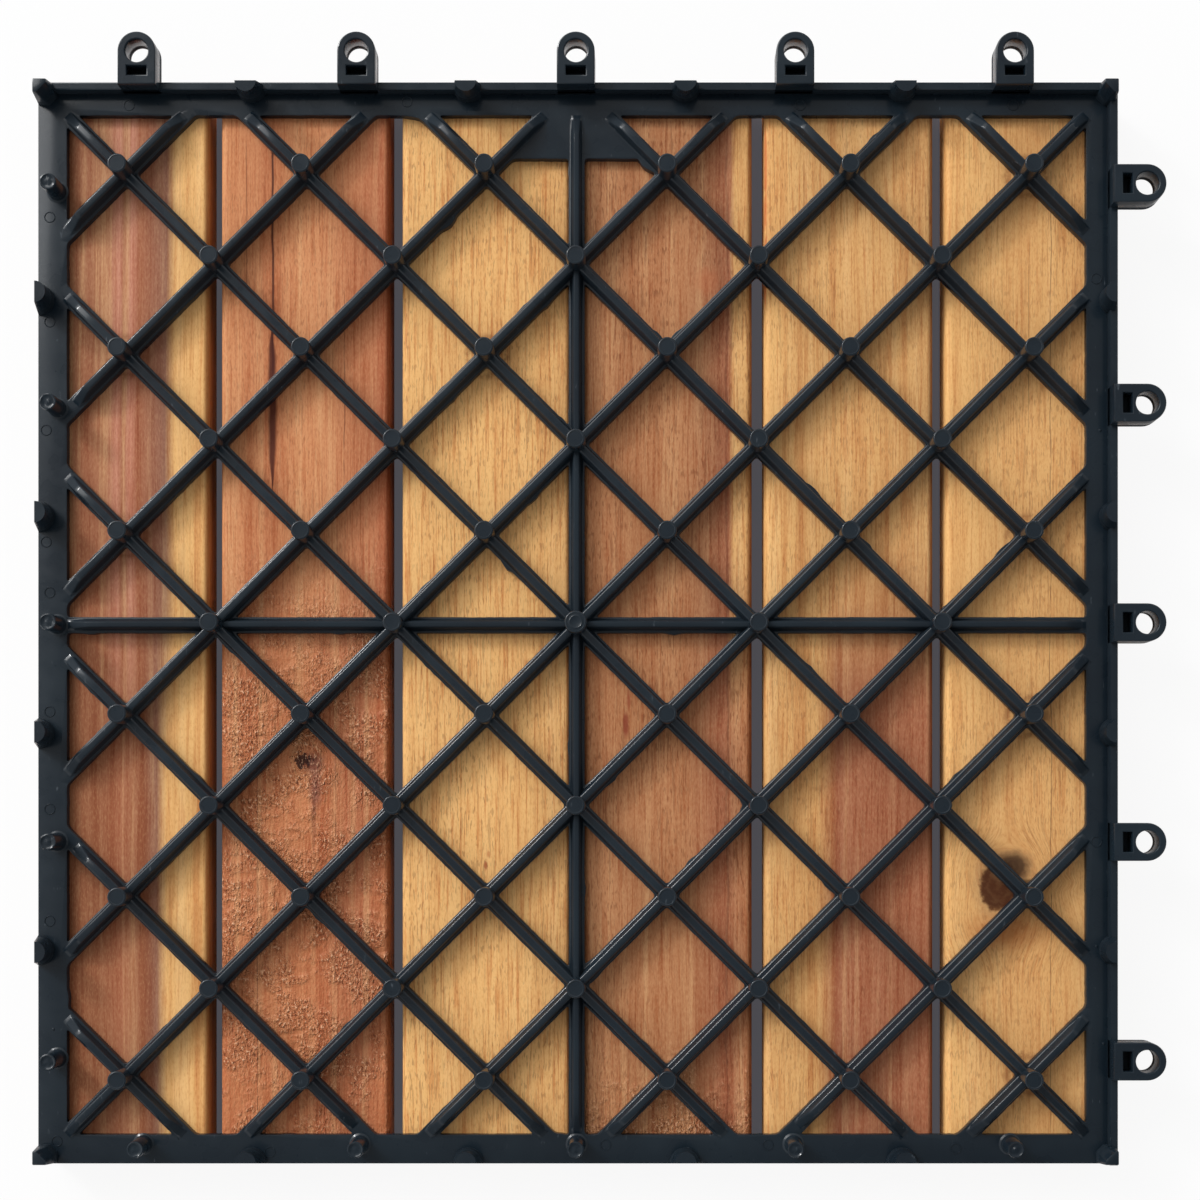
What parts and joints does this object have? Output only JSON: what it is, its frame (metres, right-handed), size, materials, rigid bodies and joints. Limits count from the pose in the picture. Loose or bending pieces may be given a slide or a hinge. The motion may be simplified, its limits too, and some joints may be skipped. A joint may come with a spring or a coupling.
{
  "type": "interlocking deck tile",
  "caption": "Square deck tile of timber slats on a moulded lattice base, with eyes on two sides that drop over the pins of the next tile.",
  "frame": {"origin": "middle of the whole tile's box, eyes included, at the level of the walking face", "axes": "+Z out of the underside, towards the foot tips; slats run along Y; eyes stand out on +X and +Y, pins stand on the -X and -Y sides"},
  "size_m": [0.3109, 0.3109, 0.024],
  "materials": {
    "base_plastic": "semi-gloss moulded polypropylene, blue-black",
    "screw_steel": "plain stainless",
    "timber_1": "planed hardwood, unsealed",
    "timber_2": "planed hardwood, unsealed",
    "timber_3": "planed hardwood, unsealed",
    "timber_4": "planed hardwood, unsealed",
    "timber_5": "planed hardwood, unsealed",
    "timber_6": "planed hardwood, unsealed"
  },
  "bodies": {
    "root": {"base_grid": "base_plastic", "slat_screws": "screw_steel", "slat_1": "timber_1", "slat_2": "timber_2", "slat_3": "timber_3", "slat_4": "timber_4", "slat_5": "timber_5", "slat_6": "timber_6"}
  },
  "joints": []
}
